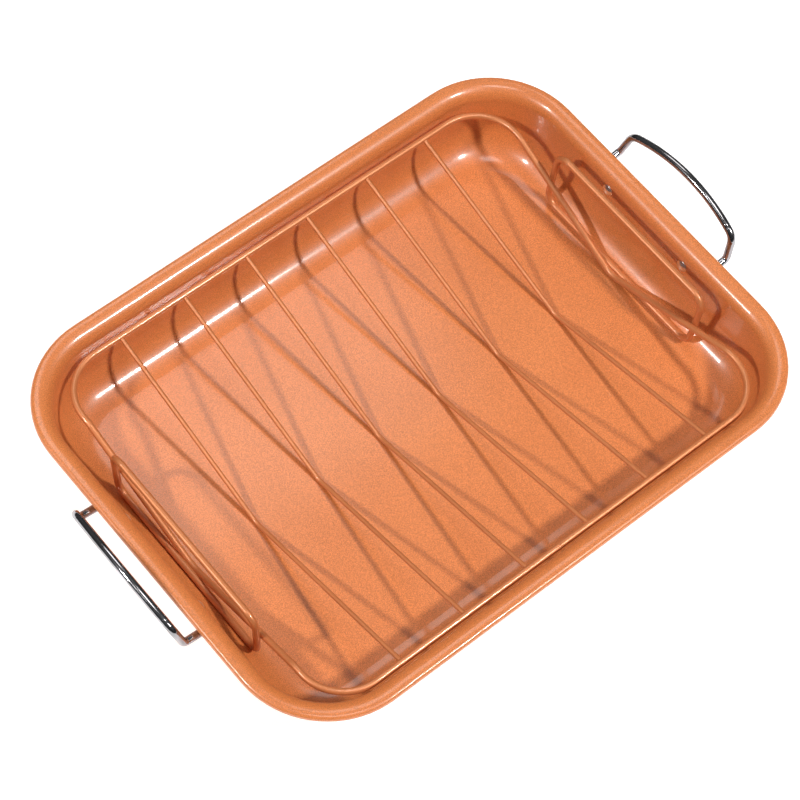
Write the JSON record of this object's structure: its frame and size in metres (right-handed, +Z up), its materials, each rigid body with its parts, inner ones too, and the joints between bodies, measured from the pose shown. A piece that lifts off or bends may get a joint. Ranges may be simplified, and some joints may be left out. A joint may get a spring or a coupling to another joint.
{
  "type": "roasting pan",
  "caption": "Rectangular coated roasting pan with a rolled rim, riveted wire side handles and a lift-out V-shaped wire roasting rack with its own lift handles",
  "frame": {"origin": "middle of the pan's flat underside, on the surface that it stands on", "axes": "+X along the pan towards the right handle, +Y across it, +Z up out of the basin"},
  "size_m": [0.4288, 0.295, 0.0707],
  "materials": {
    "pan_coating": "satin",
    "rack_coating": "gloss",
    "handle_steel": "polished",
    "rivet_metal": "satin"
  },
  "bodies": {
    "pan": {"pan_body": "pan_coating", "handle_left": "handle_steel", "handle_right": "handle_steel", "rivet_1": "rivet_metal", "rivet_2": "rivet_metal", "rivet_3": "rivet_metal", "rivet_4": "rivet_metal"},
    "rack": {"rack_ring": "rack_coating", "cross_wire_1": "rack_coating", "cross_wire_2": "rack_coating", "cross_wire_3": "rack_coating", "cross_wire_4": "rack_coating", "cross_wire_5": "rack_coating", "cross_wire_6": "rack_coating", "rack_handle_left": "rack_coating", "rack_handle_right": "rack_coating"}
  },
  "joints": [
    {"name": "rack_lift", "type": "slide", "parent": "pan", "child": "rack", "axis": [0, 0, 1], "range_m": [0, 0.08]}
  ]
}
